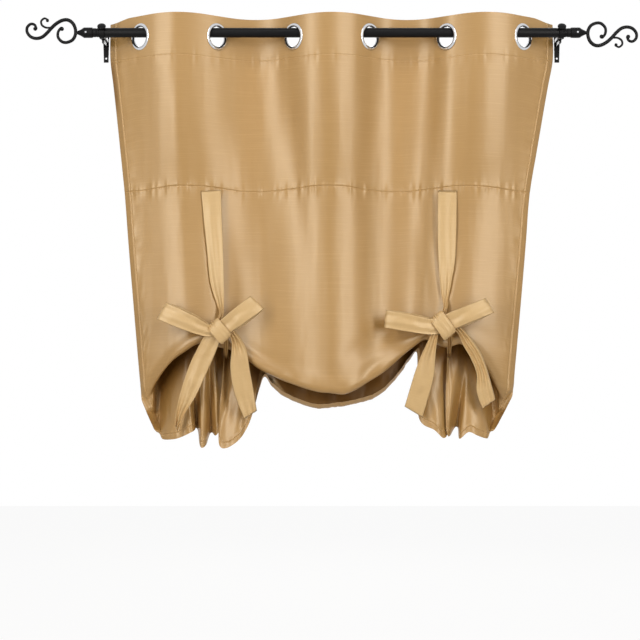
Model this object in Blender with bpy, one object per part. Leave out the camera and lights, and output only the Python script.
"""Tie-up curtain: a satin panel threaded by six ring grommets on a scroll-ended rod.

The model is built with the rod's middle at the origin, X along the rod, Y towards the
wall and Z up. The root empty then moves it so that the back of the left wall plate is
the origin. The drape of the cloth is described on a front-view grid: a grid step is
2.2 mm at the rod, seen from four metres away, so a point's depth changes its place.
"""

import math

import bmesh
import bpy
from mathutils import Matrix, Vector
from mathutils.bvhtree import BVHTree

MM = 0.001
GAP = 0.0003

# Front-view grid
GRID_STEP = 0.0022
GRID_CENTRE = 320.0
VIEW_DISTANCE = 4.0
VIEW_X = -0.0258
VIEW_Z = -0.632

# Rod and its end castings
ROD_RADIUS = 0.0106
ROD_WALL = 0.0012
ROD_OVERHANG = 0.007
COLLAR_RADIUS = 0.0099
BLOCK_RADIUS = 0.0115
BLOCK_BEVEL = 0.002
SHOULDER_RADIUS = 0.0085
COLLAR_LENGTH = 0.0135
BLOCK_LENGTH = 0.024
TAPER_LENGTH = 0.0095
NECK_RADIUS = 0.0037
NECK_LENGTH = 0.0045
PLUG_LENGTH = 0.020
GRUB_RADIUS = 0.0022
GRUB_LENGTH = 0.0034
SCROLL_THIN = 0.0027
SCROLL_THICK = 0.0040
SCROLL_BALL = 0.0046
BRANCH_THIN = 0.0020
BRANCH_THICK = 0.0024
BRANCH_BALL = 0.0036

# Brackets
BRACKET_CLEARANCE = 0.0105
WALL_DEPTH = 0.078
PLATE_THICKNESS = 0.0025
PLATE_TOP = 0.022
PLATE_BOTTOM = -0.055
PLATE_TOP_WIDTH = 0.015
PLATE_BOTTOM_WIDTH = 0.0105
ARM_WIDTH = 0.011
ARM_TOP = -0.004
ARM_HEIGHT = 0.007
GUSSET_WIDTH = 0.004
GUSSET_HEIGHT = 0.009
SADDLE_WALL = 0.003
SCREW_HOLE_RADIUS = 0.0022
UPPER_HOLE_INSET = 0.008
LOWER_HOLE_INSET = 0.009
KNOB_RADIUS = 0.0094
KNOB_HEIGHT = 0.0032
KNOB_CROWN = 0.0020
KNOB_CLEARANCE = 0.0012
SHANK_RADIUS = 0.0020

# Grommets
GROMMET_COUNT = 6
GROMMET_PITCH = 0.1683
GROMMET_BORE = 0.0215
GROMMET_WALL = 0.0017
GROMMET_FLANGE = 0.0068
GROMMET_LIP = 0.0024
GROMMET_CROWN = 0.0034
GROMMET_BACK = 0.0028
GROMMET_SEGMENTS = 24
GROMMET_NECK = GROMMET_BORE + GROMMET_WALL
GROMMET_OUTER = GROMMET_NECK + GROMMET_FLANGE

# Cloth
CLOTH = 0.0010
HEADER_TOP = 0.037
HEADER_FOOT = -0.055
FLAT_MARGIN = 0.0039
FLAT_HALF = (GROMMET_OUTER + FLAT_MARGIN) * math.sqrt(0.5)
END_REACH = 0.0498
END_CURL = 0.4
CORNER_DROOP = 0.010
SEAM_HEIGHT = -0.3435
SEAM_SAG = 0.0055
WAVE_LEFT = 0.12
WAVE_FALL = 0.27
LAYER_STEP = 0.013
HANG_STEP = 0.048
LEAN = -0.048
EDGE_LEAN = -0.012
HEM_DROP = 0.006
HUMP_DEPTH = FLAT_HALF + (GROMMET_PITCH - 2.0 * FLAT_HALF) / 4.0
PANEL_HALF = (GROMMET_COUNT - 1) / 2.0 * GROMMET_PITCH + FLAT_HALF + END_REACH
BRACKET_X = PANEL_HALF + BRACKET_CLEARANCE
ROD_HALF = BRACKET_X + ROD_OVERHANG

# Ties
RIBBON = 0.0016
TAIL_FALL = 0.030
STRAP_STAND = 0.0030
BACK_STRAP_STAND = 0.0050
TAIL_STAND = 0.0045
KNOT_STAND = 0.0075
KNOT_DEEP = 0.0125
KNOT_WALL = 0.0030
KNOT_CLEARANCE = 0.0036
SEAT = (RIBBON + CLOTH) / 2.0 + GAP

# How far the side edges draw in below the header, as (height, left inset, right inset)
SIDE_EDGES = (
    (HEADER_FOOT, 0.0, 0.0),
    (-0.280, 0.0275, 0.0425),
    (SEAM_HEIGHT, 0.0355, 0.0551),
)

# Columns of the cloth's net: three to each side hem, eight from one grommet to the next
END_COLUMNS = 3
PITCH_COLUMNS = 8
COLUMNS = PITCH_COLUMNS * (GROMMET_COUNT - 1) + 2 * END_COLUMNS + 3

# Where the front layer folds under, and where the bottom hem of the layer behind it
# hangs, column by column from the left: fold (u, v), hem (u, v), hem depth in mm
# (negative is forward), height in mm to which the tucked cloth rises, turned-up rim mm
DRAPE = (
    (140.3, 394, 159, 435, -10, 0, 0),
    (146, 391, 163, 437, -16, 60, 0),
    (153, 382, 169, 437, -24, 120, 0),
    (162, 371, 176, 436, -32, 180, 0),
    (173, 359, 184, 433, -38, 230, 0),
    (184, 351, 193, 428.5, -40, 240, 0),
    (193, 345, 197, 426, 0, 240, 0),
    (200, 342, 200.5, 444, -36, 220, 0),
    (205, 341, 206, 442, -30, 190, 0),
    (209, 342, 211, 430, 0, 160, 0),
    (212.5, 343.5, 219, 431, -34, 130, 0),
    (216, 345, 219, 390, -24, 100, 0),
    (220.5, 346.5, 221.5, 351.5, -18, 90, 0),
    (227.5, 348, 227.5, 352.5, -18, 90, 0),
    (232, 350, 225.5, 400, -24, 110, 0),
    (237.5, 353, 222.5, 443, -32, 150, 0),
    (244, 357, 236, 440, -44, 190, 0),
    (251.5, 362.5, 249.5, 420, -28, 230, 0),
    (259, 368, 263, 376, -26, 260, 5),
    (271, 374, 272, 383, -34, 285, 8),
    (283, 379.5, 283, 391.5, -40, 300, 10),
    (295, 384, 295, 397.5, -44, 310, 10),
    (307, 388, 307, 402, -46, 320, 10),
    (319, 391, 319, 404, -47, 325, 10),
    (331, 392, 331, 403.3, -47, 325, 10),
    (344, 393, 344, 401.5, -47, 325, 10),
    (357, 388, 357, 399, -46, 320, 10),
    (369, 380.5, 369, 395.5, -44, 310, 10),
    (381, 373, 381, 389.5, -42, 300, 10),
    (392, 364.5, 391.5, 380, -38, 285, 9),
    (403, 354.6, 401, 368.5, -34, 265, 8),
    (414, 345.5, 410, 357, -28, 240, 6),
    (422, 340, 417, 352, -18, 210, 3),
    (427, 338.5, 418, 390, -4, 180, 0),
    (430, 339, 420.5, 418, -34, 150, 0),
    (433, 340.5, 434, 427, -42, 130, 0),
    (437.5, 343.5, 446, 434, -34, 110, 0),
    (441, 345, 444, 394, -24, 95, 0),
    (446, 346, 446, 351, -18, 85, 0),
    (452, 345, 452, 351, -18, 90, 0),
    (456, 343.5, 452.5, 397, -22, 110, 0),
    (460.5, 343, 451, 433, -32, 150, 0),
    (466, 345.5, 457, 424, -4, 190, 0),
    (473, 351.5, 459.5, 436, -32, 220, 0),
    (481.5, 360.5, 469, 429.5, -36, 240, 0),
    (489.5, 371.5, 477, 432.5, -36, 230, 0),
    (498, 386, 484.5, 435.3, -28, 170, 0),
    (506, 394, 488, 436, -20, 90, 0),
    (514, 390, 489.5, 435, -12, 0, 0),
)

# Rows of the table above at which the ties gather the cloth
TIE_PLACES = {"left": (12, 13), "right": (38, 39)}

# Soft vertical folds below the header: grid place, half width, depth in mm
SOFT_FOLDS = (
    (173, 13, -7), (192, 8, 5), (212, 9, -3), (240, 14, 5), (278, 10, -7),
    (297, 9, 7), (345, 12, -8), (365, 8, 6), (382, 9, -6), (400, 9, 7),
    (420, 9, -6), (438, 8, 4), (470, 12, 5), (498, 14, -8),
)

# Ties: strap, bow ears and tails on the front-view grid, widths in mm
TIES = {
    "left": {
        "knot": (219.5, 331.0),
        "axis": (0.77, 0.64),
        "half_length": 0.0155,
        "half_height": 0.0245,
        "strap": ((211, 190.5, 44), (212.5, 215, 41), (215, 250, 36), (217, 281, 30),
                  (219, 303, 18), (218.5, 313, 9)),
        "bend": (205.0, 328.5),
        "join": (212.0, 336.5),
        "left_ear": ((166.4, 302.6), (157.2, 319.0)),
        "right_ear": ((250.5, 296.5), (264.0, 308.7)),
        "left_tail": ((212.0, 337.5, 12), (207, 351, 34), (198, 369, 44), (188, 394, 34),
                      (180, 414, 17), (176.5, 429, 6)),
        "right_tail": ((226.5, 327, 11), (235, 338, 18), (239, 352, 34), (240, 370, 42),
                       (244, 392, 42), (250.5, 415, 32)),
    },
    "right": {
        "knot": (443.0, 325.5),
        "axis": (0.81, 0.58),
        "half_length": 0.0165,
        "half_height": 0.0280,
        "strap": ((447.5, 190.5, 42), (447, 234, 41), (446.7, 260, 36), (445.5, 284, 24),
                  (443, 298, 14), (440.5, 306, 9)),
        "bend": (430.0, 324.0),
        "join": (434.4, 331.4),
        "left_ear": ((386.3, 310.0), (384.6, 327.7)),
        "right_ear": ((485.0, 298.4), (494.0, 312.5)),
        "left_tail": ((435.5, 331.5, 12), (431.5, 345, 22), (428, 358, 32), (424.5, 374, 42),
                      (419.5, 392, 44), (413.5, 412, 44)),
        "right_tail": ((450.5, 321.5, 11), (461, 332, 16), (467.5, 342, 24), (475.5, 355, 26),
                       (482, 372, 26), (484.5, 390, 36), (489, 404, 34)),
    },
}

# Scroll casting: centreline in grid steps from its neck, X outwards and Z up
SCROLL = (
    (12.3, -2.2), (14.8, -4.3), (17.5, -0.3), (17.3, 4.9), (13.5, 9.0), (8.8, 9.7),
    (3.3, 7.4), (0.4, 2.7), (0.1, -3.3), (2.6, -9.2), (7.3, -12.6), (12.7, -12.5),
    (18.5, -9.6), (23.5, -5.3), (28.5, 0.2), (33.6, 4.4), (39.3, 5.7), (44.7, 4.1),
    (48.3, -0.3), (48.3, -5.3), (45.0, -8.6), (41.2, -8.0), (39.7, -4.9), (42.0, -2.8),
)
BRANCH = (
    (24.0, -5.2), (29.5, -5.1), (33.6, -7.6), (34.3, -11.6), (31.2, -14.3),
    (28.2, -12.9), (28.7, -10.6),
)


def clear_scene():
    """Remove every object that the file opens with."""
    for item in list(bpy.data.objects):
        bpy.data.objects.remove(item, do_unlink=True)


def make_material(name, colour, roughness, metallic):
    """A Principled material of one colour."""
    material = bpy.data.materials.new(name)
    material.use_nodes = True
    shader = material.node_tree.nodes["Principled BSDF"]
    shader.inputs["Base Color"].default_value = (*colour, 1.0)
    shader.inputs["Roughness"].default_value = roughness
    shader.inputs["Metallic"].default_value = metallic
    material.diffuse_color = (*colour, 1.0)
    return material


def seen(u, v, depth):
    """The point at a depth that is seen at grid place (u, v)."""
    scale = GRID_STEP * (VIEW_DISTANCE + depth) / VIEW_DISTANCE
    return Vector((VIEW_X + (u - GRID_CENTRE) * scale, depth,
                   VIEW_Z - (v - GRID_CENTRE) * scale))


def smooth(value):
    """Ease from 0 to 1, level outside."""
    value = min(1.0, max(0.0, value))
    return value * value * (3.0 - 2.0 * value)


def spline(points, parts):
    """Points along a smooth curve through the given points, with parts to each span."""
    last = len(points) - 1
    result = []
    for index in range(last):
        before = points[max(index - 1, 0)]
        start = points[index]
        end = points[index + 1]
        after = points[min(index + 2, last)]
        for step in range(parts):
            t = step / parts
            result.append(0.5 * (2.0 * start + (end - before) * t
                                 + (2.0 * before - 5.0 * start + 4.0 * end - after) * t * t
                                 + (3.0 * start - before - 3.0 * end + after) * t * t * t))
    result.append(points[last].copy())
    return result


def add_object(name, bm, material, root, is_cutter=False):
    """Turn a bmesh into a smooth-shaded object under the root."""
    bmesh.ops.recalc_face_normals(bm, faces=bm.faces)
    mesh = bpy.data.meshes.new(name)
    bm.to_mesh(mesh)
    bm.free()
    mesh.shade_smooth()
    mesh.set_sharp_from_angle(angle=math.radians(40.0))
    if material is not None:
        mesh.materials.append(material)
    item = bpy.data.objects.new(name, mesh)
    item.parent = root
    bpy.context.scene.collection.objects.link(item)
    if is_cutter:
        item.hide_render = True
        item.display_type = "WIRE"
    return item


def combine(item, other, operation):
    """Join another body to a piece, or cut it away."""
    modifier = item.modifiers.new(operation.title(), "BOOLEAN")
    modifier.operation = operation
    modifier.solver = "EXACT"
    modifier.object = other
    return modifier


def loft(rings, closed=False):
    """A skin through equal rings of points, capped unless it closes on itself."""
    bm = bmesh.new()
    loops = [[bm.verts.new(point) for point in ring] for ring in rings]
    count = len(loops[0])
    pairs = list(zip(loops, loops[1:]))
    if closed:
        pairs.append((loops[-1], loops[0]))
    for first, second in pairs:
        for index in range(count):
            following = (index + 1) % count
            bm.faces.new((first[index], first[following], second[following], second[index]))
    if not closed:
        bm.faces.new(list(reversed(loops[0])))
        bm.faces.new(loops[-1])
    return bm


def turned(profile, segments, closed=False):
    """A solid turned about Z from (radius, height) points."""
    rings = []
    for step in range(segments):
        angle = 2.0 * math.pi * step / segments
        rings.append([Vector((radius * math.cos(angle), radius * math.sin(angle), height))
                      for radius, height in profile])
    if closed:
        return loft(rings, closed=True)
    columns = [[ring[index] for ring in rings] for index in range(len(profile))]
    return loft(columns)


def box(low, high):
    """A box between two corners."""
    bm = bmesh.new()
    bmesh.ops.create_cube(bm, size=1.0)
    size = Vector(high) - Vector(low)
    middle = (Vector(high) + Vector(low)) / 2.0
    bmesh.ops.transform(bm, matrix=Matrix.Translation(middle) @ Matrix.Diagonal((*size, 1.0)),
                        verts=bm.verts)
    return bm


def tube(points, radii, segments):
    """A round bar in the XZ plane along points, with a radius at each."""
    rings = []
    for index, point in enumerate(points):
        before = points[max(index - 1, 0)]
        after = points[min(index + 1, len(points) - 1)]
        along = (after - before).normalized()
        across = Vector((0.0, 1.0, 0.0))
        up = along.cross(across)
        rings.append([point + radii[index] * (math.cos(angle) * across + math.sin(angle) * up)
                      for angle in (2.0 * math.pi * step / segments for step in range(segments))])
    return loft(rings)


def ribbon_body(path, sides, widths, curl=0.0, thickness=RIBBON):
    """A strip of doubled cloth along a path, its width laid along the side vectors."""
    across = (-1.0, -0.4, 0.4, 1.0)
    rings = []
    for index, point in enumerate(path):
        before = path[max(index - 1, 0)]
        after = path[min(index + 1, len(path) - 1)]
        along = (after - before).normalized()
        side = sides[index]
        side = (side - along * side.dot(along)).normalized()
        normal = along.cross(side).normalized()
        half = widths[index] / 2.0
        face = [point + side * half * place + normal * (curl * (1.0 - place * place))
                for place in across]
        front = [corner + normal * thickness / 2.0 for corner in face]
        back = [corner - normal * thickness / 2.0 for corner in reversed(face)]
        rings.append(front + back)
    return loft(rings)


def grommet_x(index):
    """Place of a grommet's centre along the rod."""
    return (index - (GROMMET_COUNT - 1) / 2.0) * GROMMET_PITCH


def hump_side(index):
    """Side of the rod on which the cloth passes after grommet index: 1 is the wall side."""
    if index < 0 or index >= GROMMET_COUNT - 1:
        return 1.0
    return -1.0 if index % 2 == 0 else 1.0


def drape(column):
    """The drape table's values at a column, between its rows if the columns are others."""
    place = column * (len(DRAPE) - 1) / (COLUMNS - 1)
    before = min(int(place), len(DRAPE) - 2)
    share = place - before
    return [low + (high - low) * share for low, high in zip(DRAPE[before], DRAPE[before + 1])]


def end_reach(column_steps):
    """Reach (x, y) of the header out of the last grommet's flat, curling towards the wall."""
    reach = END_REACH * column_steps / END_COLUMNS
    return reach, FLAT_HALF + reach - END_CURL * reach * reach / END_REACH


def header_point(column):
    """Place (x, y) of a column in the header, flat at 45 degrees through each grommet."""
    if column < END_COLUMNS:
        reach, depth = end_reach(END_COLUMNS - column)
        return grommet_x(0) - FLAT_HALF - reach, depth
    index = min((column - END_COLUMNS) // PITCH_COLUMNS, GROMMET_COUNT - 1)
    offset = column - END_COLUMNS - PITCH_COLUMNS * index
    centre = grommet_x(index)
    if offset <= 2:
        shift = (offset - 1) * FLAT_HALF
        side = hump_side(index) if shift > 0 else -hump_side(index - 1)
        return centre + shift, side * shift
    start = centre + FLAT_HALF
    if index == GROMMET_COUNT - 1:
        reach, depth = end_reach(offset - 2)
        return start + reach, hump_side(index) * depth
    span = GROMMET_PITCH - 2.0 * FLAT_HALF
    share = (offset - 2) / (PITCH_COLUMNS - 2)
    depth = FLAT_HALF + span * share * (1.0 - share)
    return start + span * share, hump_side(index) * depth


def side_edges(height):
    """Left and right X of the panel at a height above the seam."""
    inset = SIDE_EDGES[-1][1:]
    for (top, left, right), (foot, next_left, next_right) in zip(SIDE_EDGES, SIDE_EDGES[1:]):
        if height >= foot:
            share = min(1.0, max(0.0, (top - height) / (top - foot)))
            inset = (left + (next_left - left) * share, right + (next_right - right) * share)
            break
    return inset[0] - PANEL_HALF, PANEL_HALF - inset[1]


def soft_depth(x, height):
    """Depth of the soft folds below the header at a place."""
    u = GRID_CENTRE + (x - VIEW_X) / GRID_STEP
    total = sum(depth * math.exp(-((u - place) / half) ** 2)
                for place, half, depth in SOFT_FOLDS)
    return total * MM * smooth((HEADER_FOOT - height) / 0.22)


def wave_share(height):
    """Share of the header's wave that is left at a height."""
    fall = max(0.0, HEADER_FOOT - height)
    return WAVE_LEFT + (1.0 - WAVE_LEFT) * math.exp(-(fall / WAVE_FALL) ** 2)


def edge_share(column):
    """0 at the side hems, rising to 1 in from them."""
    return smooth(min(column, COLUMNS - 1 - column) / 6.0)


def front_point(column, share):
    """Point of the front layer below the seam: share 0 is the seam, 1 the lower fold."""
    header_x, header_y = header_point(column)
    fold_u, fold_v = drape(column)[0:2]
    left, right = side_edges(SEAM_HEIGHT)
    place = (header_x + PANEL_HALF) / (2.0 * PANEL_HALF)
    seam_x = left + (right - left) * place
    seam_z = SEAM_HEIGHT - SEAM_SAG * header_y / HUMP_DEPTH
    lean = LEAN * edge_share(column) + EDGE_LEAN
    low = seen(fold_u, fold_v, lean)
    x = seam_x + (low.x - seam_x) * share
    z = seam_z + (low.z - seam_z) * share
    y = header_y * wave_share(z) + lean * smooth(share) + soft_depth(x, z) * (1.0 - 0.5 * share)
    return Vector((x, y, z))


def upper_point(column, height):
    """Point of the panel between its header and the seam."""
    header_x, header_y = header_point(column)
    left, right = side_edges(height)
    place = (header_x + PANEL_HALF) / (2.0 * PANEL_HALF)
    x = left + (right - left) * place
    return Vector((x, header_y * wave_share(height) + soft_depth(x, height), height))


def panel_column(column):
    """Points down one column: header, front layer, tucked layer and hanging hem."""
    header_x, header_y = header_point(column)
    droop = CORNER_DROOP * smooth(1.0 - min(column, COLUMNS - 1 - column) / 3.0)
    points = [Vector((header_x, header_y, HEADER_TOP - droop)),
              Vector((header_x, header_y, HEADER_FOOT))]
    points += [upper_point(column, height) for height in (-0.11, -0.18, -0.26)]
    points += [front_point(column, share) for share in (0.0, 0.25, 0.5, 0.75, 0.91, 1.0)]

    fold_u, fold_v, hem_u, hem_v, hem_mm, rise_mm, rim_mm = drape(column)
    fold = points[-1]
    length = (front_point(column, 0.0) - fold).length
    rise_share = rise_mm * MM / length
    back = Vector((0.0, LAYER_STEP, 0.0))
    hang = Vector((0.0, HANG_STEP, 0.0))
    down = Vector((0.0, 0.0, -0.003))
    tucked = [fold + back * 0.45 + down, fold + back,
              front_point(column, 1.0 - 0.5 * rise_share) + back,
              front_point(column, 1.0 - rise_share) + back,
              front_point(column, 1.0 - rise_share) + hang * 0.6 - down * 2.0,
              front_point(column, 1.0 - rise_share) + hang,
              front_point(column, 1.0 - 0.5 * rise_share) + hang,
              fold + hang]
    scoop = min(1.0, rim_mm / 8.0)
    start_depth = fold.y + HANG_STEP
    end_depth = hem_mm * MM + 0.010 * scoop
    for share, ease in ((0.35, 0.10), (0.72, 0.28), (1.0, 0.75)):
        advance = smooth(share) + (ease - smooth(share)) * scoop
        depth = start_depth + (end_depth - start_depth) * advance
        drop = (hem_v + rim_mm * MM / GRID_STEP - fold_v) * share ** (1.0 - 0.4 * scoop)
        tucked.append(seen(fold_u + (hem_u - fold_u) * share, fold_v + drop, depth))
    if rim_mm:
        tucked.append(seen(hem_u, hem_v, hem_mm * MM))
    else:
        tucked.append(tucked[-1] + (tucked[-1] - tucked[-2]).normalized() * HEM_DROP)

    # The folds run out before the side hems: first in height, then in depth
    inward = min(column, COLUMNS - 1 - column)
    height_share = math.sqrt(smooth((inward - 1) / 3.0))
    depth_share = smooth(inward / 3.0) ** 0.4
    hem = tucked[-1]
    for index, bent in enumerate(tucked):
        flat = fold + (hem - fold) * (index + 1) / len(tucked)
        place = flat + (bent - flat) * height_share
        place.y = flat.y + (bent.y - flat.y) * depth_share
        points.append(place)
    return points


def panel_rows():
    """The panel's middle surface as rows of points from the header to the hem."""
    columns = [panel_column(column) for column in range(COLUMNS)]
    return [[column[row] for column in columns] for row in range(len(columns[0]))]


def sheet_normals(rows):
    """The square direction of a grid of points at each point, towards the front."""
    last_row = len(rows) - 1
    last_column = len(rows[0]) - 1
    normals = []
    for r, row in enumerate(rows):
        line = []
        for c in range(last_column + 1):
            down = rows[min(r + 1, last_row)][c] - rows[max(r - 1, 0)][c]
            across = row[min(c + 1, last_column)] - row[max(c - 1, 0)]
            line.append(across.cross(down).normalized())
        normals.append(line)
    return normals


def thick_sheet(rows, thickness):
    """A closed sheet of cloth on both sides of a grid of points."""
    bm = bmesh.new()
    normals = sheet_normals(rows)
    sides = []
    for shift in (0.5 * thickness, -0.5 * thickness):
        sides.append([[bm.verts.new(point - normal * shift)
                       for point, normal in zip(row, line)]
                      for row, line in zip(rows, normals)])
    last_row = len(rows) - 1
    last_column = len(rows[0]) - 1
    for r in range(last_row):
        for c in range(last_column):
            places = ((r, c), (r, c + 1), (r + 1, c + 1), (r + 1, c))
            first = (rows[r][c] - rows[r + 1][c + 1]).length
            second = (rows[r][c + 1] - rows[r + 1][c]).length
            turn = 0 if first < second else 1
            for corners in ((0, 1, 2), (0, 2, 3)):
                picked = [places[(corner + turn) % 4] for corner in corners]
                bm.faces.new([sides[0][i][j] for i, j in picked])
                bm.faces.new([sides[1][i][j] for i, j in reversed(picked)])
    border = [(0, c) for c in range(last_column)] + [(r, last_column) for r in range(last_row)]
    border += [(last_row, c) for c in range(last_column, 0, -1)]
    border += [(r, 0) for r in range(last_row, 0, -1)]
    for (i, j), (k, m) in zip(border, border[1:] + border[:1]):
        bm.faces.new((sides[0][i][j], sides[1][i][j], sides[1][k][m], sides[0][k][m]))
    return bm


def add_panel(material, root, rows):
    """The cloth panel, with its grommet holes."""
    panel = add_object("panel", thick_sheet(rows, CLOTH), material, root)
    cutters = bmesh.new()
    for index in range(GROMMET_COUNT):
        bmesh.ops.create_cone(cutters, cap_ends=True, segments=GROMMET_SEGMENTS,
                              radius1=GROMMET_NECK + GAP, radius2=GROMMET_NECK + GAP,
                              depth=0.02, matrix=grommet_matrix(index))
    combine(panel, add_object("grommet_holes_cutter", cutters, None, root, True), "DIFFERENCE")
    return panel


def grommet_height():
    """Height of the grommets' centres, their slanting bores hanging on top of the rod."""
    reach = ROD_RADIUS + 1.5 * GAP
    drop = GROMMET_BORE
    for degrees in range(20, 91, 2):
        angle = math.radians(degrees)
        depth = (GROMMET_BORE * math.cos(angle) - GROMMET_LIP) / math.sqrt(2.0)
        if abs(depth) < reach:
            drop = min(drop, GROMMET_BORE * math.sin(angle) - math.sqrt(reach ** 2 - depth ** 2))
    return -drop


def grommet_matrix(index):
    """Placing of a grommet: its axis square to the cloth, towards the front."""
    slope = hump_side(index)
    axis = Vector((slope, -1.0, 0.0)).normalized()
    turn = axis.to_track_quat("Z", "Y").to_matrix().to_4x4()
    return Matrix.Translation((grommet_x(index), 0.0, grommet_height())) @ turn


def add_grommets(material, root):
    """Two snap rings at each hole, one on each face of the cloth."""
    seat = CLOTH / 2.0 + GAP
    crown = GROMMET_NECK + 0.2 * GROMMET_FLANGE
    rim = GROMMET_OUTER - 0.2 * GROMMET_FLANGE
    front = ((GROMMET_BORE, -GROMMET_LIP), (GROMMET_BORE, 0.6 * GROMMET_CROWN),
             (crown, GROMMET_CROWN), (rim, 0.8 * GROMMET_CROWN), (GROMMET_OUTER, seat),
             (GROMMET_NECK, seat), (GROMMET_NECK, -GROMMET_LIP))
    inner = GROMMET_NECK + GAP
    back = ((inner, -seat), (GROMMET_OUTER, -seat), (rim, -GROMMET_BACK),
            (inner, -GROMMET_BACK))
    for index in range(GROMMET_COUNT):
        for face, profile in (("front", front), ("back", back)):
            bm = turned(profile, GROMMET_SEGMENTS, closed=True)
            ring = add_object(f"grommet_{face}_{index + 1}", bm, material, root)
            ring.matrix_local = grommet_matrix(index)


def add_rod(material, root):
    """The rod, a tube open at both ends."""
    inner = ROD_RADIUS - ROD_WALL
    profile = ((inner, -ROD_HALF), (ROD_RADIUS, -ROD_HALF), (ROD_RADIUS, ROD_HALF),
               (inner, ROD_HALF))
    rod = add_object("rod", turned(profile, 32, closed=True), material, root)
    rod.rotation_euler = (0.0, math.pi / 2.0, 0.0)


def scroll_radii(count, thin, thick, ball_share, ball, both_ends):
    """Radii along a scroll bar, thick in its middle and a ball at its ends."""
    radii = []
    for index in range(count):
        share = index / (count - 1)
        radii.append(thin + (thick - thin) * math.sin(math.pi * share) ** 0.8)
    caps = ((0, 0.35), (1, 1.0), (2, 0.9))
    for place, size in caps:
        radii[count - 1 - place] = ball * size
        if both_ends:
            radii[place] = ball * size
    return [max(radius, ball_share * thin) for radius in radii]


def add_finials(material, root):
    """A scroll casting on each end of the rod, the left one the right one half turned."""
    for name, turn in (("right", 0.0), ("left", math.pi)):
        plug = ROD_RADIUS - ROD_WALL - GAP
        block_end = COLLAR_LENGTH + BLOCK_LENGTH
        neck_start = block_end + TAPER_LENGTH
        neck_end = neck_start + NECK_LENGTH
        profile = ((0.5 * plug, -PLUG_LENGTH), (plug, BLOCK_BEVEL - PLUG_LENGTH), (plug, GAP),
                   (COLLAR_RADIUS, GAP), (COLLAR_RADIUS, COLLAR_LENGTH),
                   (BLOCK_RADIUS, COLLAR_LENGTH + BLOCK_BEVEL),
                   (BLOCK_RADIUS, block_end - 2.0 * BLOCK_BEVEL),
                   (SHOULDER_RADIUS, block_end), (NECK_RADIUS, neck_start),
                   (NECK_RADIUS, neck_end))
        bm = turned(profile, 16)
        bmesh.ops.rotate(bm, verts=bm.verts, matrix=Matrix.Rotation(math.pi / 2.0, 3, "Y"))
        bmesh.ops.translate(bm, verts=bm.verts, vec=(ROD_HALF, 0.0, 0.0))
        finial = add_object(f"finial_{name}", bm, material, root)
        neck = Vector((ROD_HALF + neck_end, 0.0, 0.0))
        for part, points, thin, thick, ball, both in (
                ("scroll", SCROLL, SCROLL_THIN, SCROLL_THICK, SCROLL_BALL, True),
                ("branch", BRANCH, BRANCH_THIN, BRANCH_THICK, BRANCH_BALL, False)):
            line = spline([neck + Vector((x, 0.0, z)) * GRID_STEP for x, z in points], 2)
            radii = scroll_radii(len(line), thin, thick, 0.6, ball, both)
            body = add_object(f"{part}_{name}_union", tube(line, radii, 8), None, root, True)
            body.rotation_euler = (0.0, turn, 0.0)
            combine(finial, body, "UNION")
        finial.rotation_euler = (0.0, turn, 0.0)
        add_grub_screw(name, finial, material, root)


def add_grub_screw(name, finial, material, root):
    """The small screw in the front of a casting's block, in its own hole."""
    side = 1.0 if name == "right" else -1.0
    middle = Vector((side * (ROD_HALF + COLLAR_LENGTH + 0.6 * BLOCK_LENGTH),
                     -BLOCK_RADIUS, 0.0))
    turn = Matrix.Rotation(math.pi / 2.0, 4, "X")
    hole = bmesh.new()
    bmesh.ops.create_cone(hole, cap_ends=True, segments=12, radius1=GRUB_RADIUS + GAP,
                          radius2=GRUB_RADIUS + GAP, depth=2.0 * GRUB_LENGTH + 0.0012,
                          matrix=Matrix.Translation(middle) @ turn)
    combine(finial, add_object(f"grub_hole_{name}_cutter", hole, None, root, True), "DIFFERENCE")
    tip = 0.4 * GRUB_RADIUS
    profile = ((tip, 0.0004), (GRUB_RADIUS, 0.0002), (GRUB_RADIUS, 0.0004 - GRUB_LENGTH),
               (tip, -GRUB_LENGTH))
    screw = add_object(f"grub_screw_{name}", turned(profile, 12), material, root)
    screw.matrix_local = Matrix.Translation(middle) @ turn


def plate_body():
    """A wall plate, wider at its top."""
    bm = bmesh.new()
    corners = ((-PLATE_TOP_WIDTH, PLATE_TOP), (PLATE_TOP_WIDTH, PLATE_TOP),
               (PLATE_BOTTOM_WIDTH, PLATE_BOTTOM), (-PLATE_BOTTOM_WIDTH, PLATE_BOTTOM))
    front = [bm.verts.new((x / 2.0, WALL_DEPTH - PLATE_THICKNESS, z)) for x, z in corners]
    face = bm.faces.new(front)
    extruded = bmesh.ops.extrude_face_region(bm, geom=[face])
    moved = [item for item in extruded["geom"] if isinstance(item, bmesh.types.BMVert)]
    bmesh.ops.translate(bm, verts=moved, vec=(0.0, PLATE_THICKNESS, 0.0))
    return bm


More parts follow.
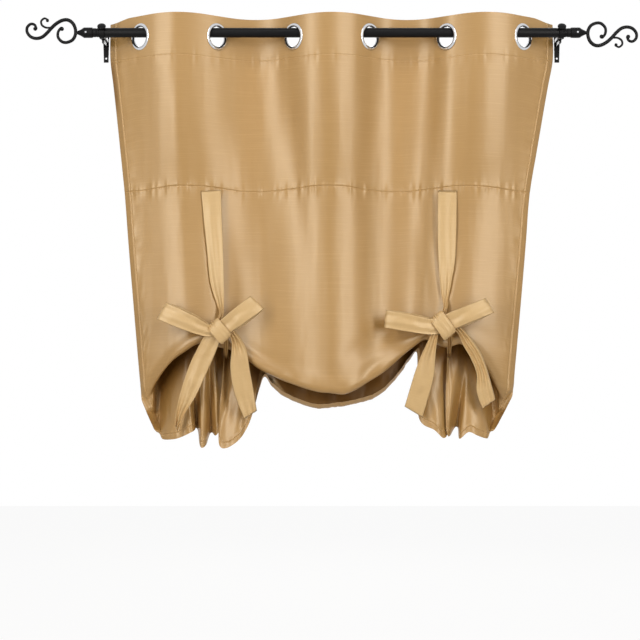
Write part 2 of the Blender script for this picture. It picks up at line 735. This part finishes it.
def add_brackets(material, root):
    """A wall plate, arm and ring saddle at each end, with a thumb screw."""
    inner = ROD_RADIUS + GAP
    outer = inner + SADDLE_WALL
    for name, side in (("left", -1.0), ("right", 1.0)):
        place = Vector((side * BRACKET_X, 0.0, 0.0))
        bracket = add_object(f"bracket_{name}", plate_body(), material, root)
        bracket.location = place
        foot = ARM_TOP - ARM_HEIGHT
        behind = WALL_DEPTH - PLATE_THICKNESS / 2.0
        arm = box((-ARM_WIDTH / 2.0, inner + SADDLE_WALL / 3.0, foot),
                  (ARM_WIDTH / 2.0, behind, ARM_TOP))
        gusset = box((-GUSSET_WIDTH / 2.0, outer, foot - GUSSET_HEIGHT),
                     (GUSSET_WIDTH / 2.0, behind, foot + 0.001))
        half = ARM_WIDTH / 2.0 - 0.0004
        ring = turned(((inner, -half), (outer, -half), (outer, half), (inner, half)), 28,
                      closed=True)
        bmesh.ops.rotate(ring, verts=ring.verts, matrix=Matrix.Rotation(math.pi / 2.0, 3, "Y"))
        for label, body in (("arm", arm), ("gusset", gusset), ("ring", ring)):
            other = add_object(f"bracket_{label}_{name}_union", body, None, root, True)
            other.location = place
            combine(bracket, other, "UNION")
        holes = bmesh.new()
        for height in (PLATE_TOP - UPPER_HOLE_INSET, PLATE_BOTTOM + LOWER_HOLE_INSET):
            turn = Matrix.Rotation(math.pi / 2.0, 4, "X")
            bmesh.ops.create_cone(holes, cap_ends=True, segments=16, radius1=SCREW_HOLE_RADIUS,
                                  radius2=SCREW_HOLE_RADIUS, depth=0.01,
                                  matrix=Matrix.Translation((0.0, WALL_DEPTH, height)) @ turn)
        slant = Matrix.Rotation(math.radians(45.0), 4, "X")
        bmesh.ops.create_cone(holes, cap_ends=True, segments=16, radius1=SHANK_RADIUS + GAP,
                              radius2=SHANK_RADIUS + GAP, depth=0.008,
                              matrix=slant @ Matrix.Translation((0.0, 0.0, outer)))
        cutter = add_object(f"bracket_holes_{name}_cutter", holes, None, root, True)
        cutter.location = place
        combine(bracket, cutter, "DIFFERENCE")
        start = ROD_RADIUS + GAP
        under = outer + KNOB_CLEARANCE
        profile = ((0.6 * SHANK_RADIUS, start), (SHANK_RADIUS, start + 0.0005),
                   (SHANK_RADIUS, under), (KNOB_RADIUS, under + 0.0006),
                   (KNOB_RADIUS, under + KNOB_HEIGHT),
                   (0.6 * KNOB_RADIUS, under + KNOB_HEIGHT + KNOB_CROWN))
        screw = add_object(f"thumb_screw_{name}", turned(profile, 20), material, root)
        screw.matrix_local = Matrix.Translation(place) @ slant


class ClothDepth:
    """Finds the front and back of the hung cloth at a place."""

    def __init__(self, rows):
        points = [point for row in rows for point in row]
        width = len(rows[0])
        faces = [(r * width + c, r * width + c + 1, (r + 1) * width + c + 1, (r + 1) * width + c)
                 for r in range(len(rows) - 1) for c in range(width - 1)]
        self.tree = BVHTree.FromPolygons(points, faces)

    def nearest(self, x, z, half, forward, lift=0.006):
        """Outermost depth within a half width and a lift of (x, z), from one side."""
        side = -1.0 if forward else 1.0
        depths = []
        for step in range(-3, 4):
            for rise in (-lift, 0.0, lift):
                start = Vector((x + half * step / 3.0, side, z + rise))
                hit = self.tree.ray_cast(start, Vector((0.0, -side, 0.0)))[0]
                if hit is not None:
                    depths.append(hit.y)
        if not depths:
            return None
        return min(depths) if forward else max(depths)


def knot_frame(tie, depth):
    """Centre, axis and cross direction of a bow's knot."""
    centre = seen(*tie["knot"], depth)
    along_x, along_z = tie["axis"]
    axis = Vector((along_x, 0.0, along_z)).normalized()
    cross = Vector((along_z, 0.0, -along_x)).normalized()
    return centre, axis, cross


def oval_rings(centre, axis, cross, places, high, deep, segments=16):
    """Oval rings square to an axis, at (shift, scale) places along it."""
    rings = []
    for shift, scale in places:
        ring = []
        for step in range(segments):
            angle = 2.0 * math.pi * step / segments
            ring.append(centre + axis * shift + cross * (high * scale * math.cos(angle))
                        + Vector((0.0, deep * scale * math.sin(angle), 0.0)))
        rings.append(ring)
    return rings


def band_body(tie, depth):
    """The part of a tie that is wrapped round the bow, as a short oval tube."""
    centre, axis, cross = knot_frame(tie, depth)
    half = tie["half_length"]
    high = tie["half_height"]
    outer = oval_rings(centre, axis, cross, ((-half, 0.90), (-0.5 * half, 1.0),
                                             (0.5 * half, 1.0), (half, 0.90)), high, KNOT_DEEP)
    inner = oval_rings(centre, axis, cross, ((half, 0.90), (-half, 0.90)),
                       high - KNOT_WALL, KNOT_DEEP - KNOT_WALL)
    return loft(outer + inner, closed=True)


def plug_body(tie, depth, side, share):
    """The gathered cloth inside a knot, from its middle out past one end."""
    centre, axis, cross = knot_frame(tie, depth)
    half = tie["half_length"]
    places = ((side * 0.0004, 0.8), (side * 0.5 * half, 0.8), (side * half, 0.8),
              (side * (half + 0.004), 0.55))
    return loft(oval_rings(centre, axis, cross, places,
                           share * (tie["half_height"] - KNOT_WALL),
                           share * (KNOT_DEEP - KNOT_WALL), 12))


def ear_body(tie, name, depth, root_shift):
    """One ear of a bow: a strip that goes out, turns and comes back."""
    centre, axis, _ = knot_frame(tie, depth)
    start = centre + axis * root_shift
    upper = seen(*tie[name][0], depth)
    lower = seen(*tie[name][1], depth)
    middle = (upper + lower) / 2.0
    out = middle - start
    end_side = upper - lower
    full = end_side.length
    steps = ((0.0, -1.5, 0.30), (0.18, -7.0, 0.46), (0.42, -12.5, 0.80), (0.72, -12.5, 0.98),
             (0.93, -9.0, 1.0), (1.0, -3.0, 1.0), (0.95, 1.5, 1.0), (0.74, 2.8, 0.98),
             (0.44, 2.8, 0.78), (0.18, 2.2, 0.44), (0.0, 1.5, 0.30))
    root_side = Vector((-out.z, 0.0, out.x)).normalized()
    if root_side.dot(end_side) < 0.0:
        root_side.negate()
    outward = axis * math.copysign(0.008, root_shift)
    path = [start + out * reach + outward * smooth(reach / 0.18) * (1.0 - reach)
            + Vector((0.0, shift * MM, 0.0)) for reach, shift, _ in steps]
    sides = [root_side.lerp(end_side.normalized(), reach) for reach, _, _ in steps]
    return ribbon_body(path, sides, [full * share for _, _, share in steps])


def front_path(places, cloth, lift, start_depth=None):
    """Points of a strip on the front of the cloth, hanging freely from a start depth."""
    path = []
    widths = []
    for index, (u, v, width_mm) in enumerate(places):
        half = width_mm * MM / 2.0
        guess = seen(u, v, -0.06)
        touch = cloth.nearest(guess.x, guess.z, half, True, 0.010)
        depth = math.inf if touch is None else touch - lift
        if start_depth is not None:
            depth = min(depth, start_depth + TAIL_FALL * index / (len(places) - 1))
        path.append(seen(u, v, depth))
        widths.append(width_mm * MM)
    return path, widths


def strip(path, widths, parts, curl=0.0):
    """A strip through a few places, its width level across the front view."""
    line = spline(path, parts)
    sizes = [entry.x for entry in spline([Vector((width, 0.0, 0.0)) for width in widths], parts)]
    sides = []
    for index in range(len(line)):
        before = line[max(index - 1, 0)]
        after = line[min(index + 1, len(line) - 1)]
        along = after - before
        sides.append(Vector((along.z, 0.0, -along.x)) if abs(along.z) + abs(along.x) > 1e-6
                     else Vector((1.0, 0.0, 0.0)))
    return ribbon_body(line, sides, sizes, curl)


def add_ties(material, root, cloth):
    """Two straps on each side, one before and one behind the panel, tied in a bow."""
    for name, tie in TIES.items():
        knot = seen(*tie["knot"], -0.06)
        rest = cloth.nearest(knot.x, knot.z, 0.040, True, 0.020)
        depth = rest - KNOT_DEEP - KNOT_STAND
        half = tie["half_length"]

        path, widths = front_path(tie["strap"], cloth, STRAP_STAND)
        path[0].y += STRAP_STAND - SEAT
        behind = depth + KNOT_DEEP + KNOT_CLEARANCE
        path[-1] = seen(*tie["strap"][-1][:2], behind)
        path += [seen(*tie["bend"], behind), seen(*tie["join"], depth + 0.003)]
        widths += [0.008, 0.009]
        strap = add_object(f"front_tie_{name}", strip(path, widths, 2), material, root)
        left_end = -(half + 0.001)
        bodies = [("plug", plug_body(tie, depth, -1.0, 0.86)),
                  ("ear", ear_body(tie, "left_ear", depth, left_end))]
        tail_path, tail_widths = front_path(tie["left_tail"], cloth, TAIL_STAND, depth)
        bodies.append(("tail", strip(tail_path, tail_widths, 2)))
        for label, body in bodies:
            other = add_object(f"front_{label}_{name}_union", body, None, root, True)
            combine(strap, other, "UNION")

        wrapped = add_object(f"back_tie_{name}", band_body(tie, depth), material, root)
        right_end = half + 0.001
        bodies = [("plug", plug_body(tie, depth, 1.0, 1.06)),
                  ("ear", ear_body(tie, "right_ear", depth, right_end))]
        tail_path, tail_widths = front_path(tie["right_tail"], cloth, TAIL_STAND, depth)
        bodies.append(("tail", strip(tail_path, tail_widths, 2)))
        bodies.append(("strap", back_strap(tie, name, depth, cloth)))
        for label, body in bodies:
            other = add_object(f"back_{label}_{name}_union", body, None, root, True)
            combine(wrapped, other, "UNION")


def back_strap(tie, name, depth, cloth):
    """The strap behind the panel, brought forward under the folds to the knot."""
    hems = [DRAPE[place][2:4] for place in TIE_PLACES[name]]
    hem_u = sum(hem[0] for hem in hems) / len(hems)
    hem_v = max(hem[1] for hem in hems)
    centre, _, cross = knot_frame(tie, depth)
    foot = centre + cross * (tie["half_height"] - 0.002)
    top_u, top_v, width_mm = tie["strap"][0]
    path = [foot, seen(hem_u, hem_v + 5.0, depth + 0.026), seen(hem_u, hem_v + 6.0, 0.0)]
    widths = [0.010, 0.008, 0.008]
    for share, width in ((0.0, 0.016), (0.15, 0.022), (0.35, 0.034), (0.55, 0.040),
                         (0.75, 0.044), (1.0, 0.044)):
        u = hem_u + (top_u - hem_u) * share
        v = (hem_v - 4.0) + (top_v - hem_v + 4.0) * share
        place = seen(u, v, 0.02)
        lift = 0.004 if share == 1.0 else 0.045
        rest = cloth.nearest(place.x, place.z, 0.6 * width, False, lift)
        clearance = SEAT if share == 1.0 else BACK_STRAP_STAND
        path.append(Vector((place.x, (rest if rest is not None else 0.01) + clearance, place.z)))
        widths.append(width)
    line = spline(path, 2)
    sizes = [entry.x for entry in spline([Vector((width, 0.0, 0.0)) for width in widths], 2)]
    return ribbon_body(line, [Vector((1.0, 0.0, 0.0))] * len(line), sizes)


def main():
    """Build every piece."""
    clear_scene()
    root = bpy.data.objects.new("root", None)
    bpy.context.scene.collection.objects.link(root)
    root.location = (BRACKET_X, -WALL_DEPTH, -(PLATE_TOP + PLATE_BOTTOM) / 2.0)

    satin = make_material("gold_satin", (0.55, 0.34, 0.13), 0.42, 0.0)
    chrome = make_material("polished_chrome", (0.72, 0.72, 0.74), 0.18, 1.0)
    iron = make_material("black_iron", (0.012, 0.012, 0.014), 0.42, 0.6)

    rows = panel_rows()
    add_panel(satin, root, rows)
    add_grommets(chrome, root)
    add_ties(satin, root, ClothDepth(rows))
    add_rod(iron, root)
    add_finials(iron, root)
    add_brackets(iron, root)


main()
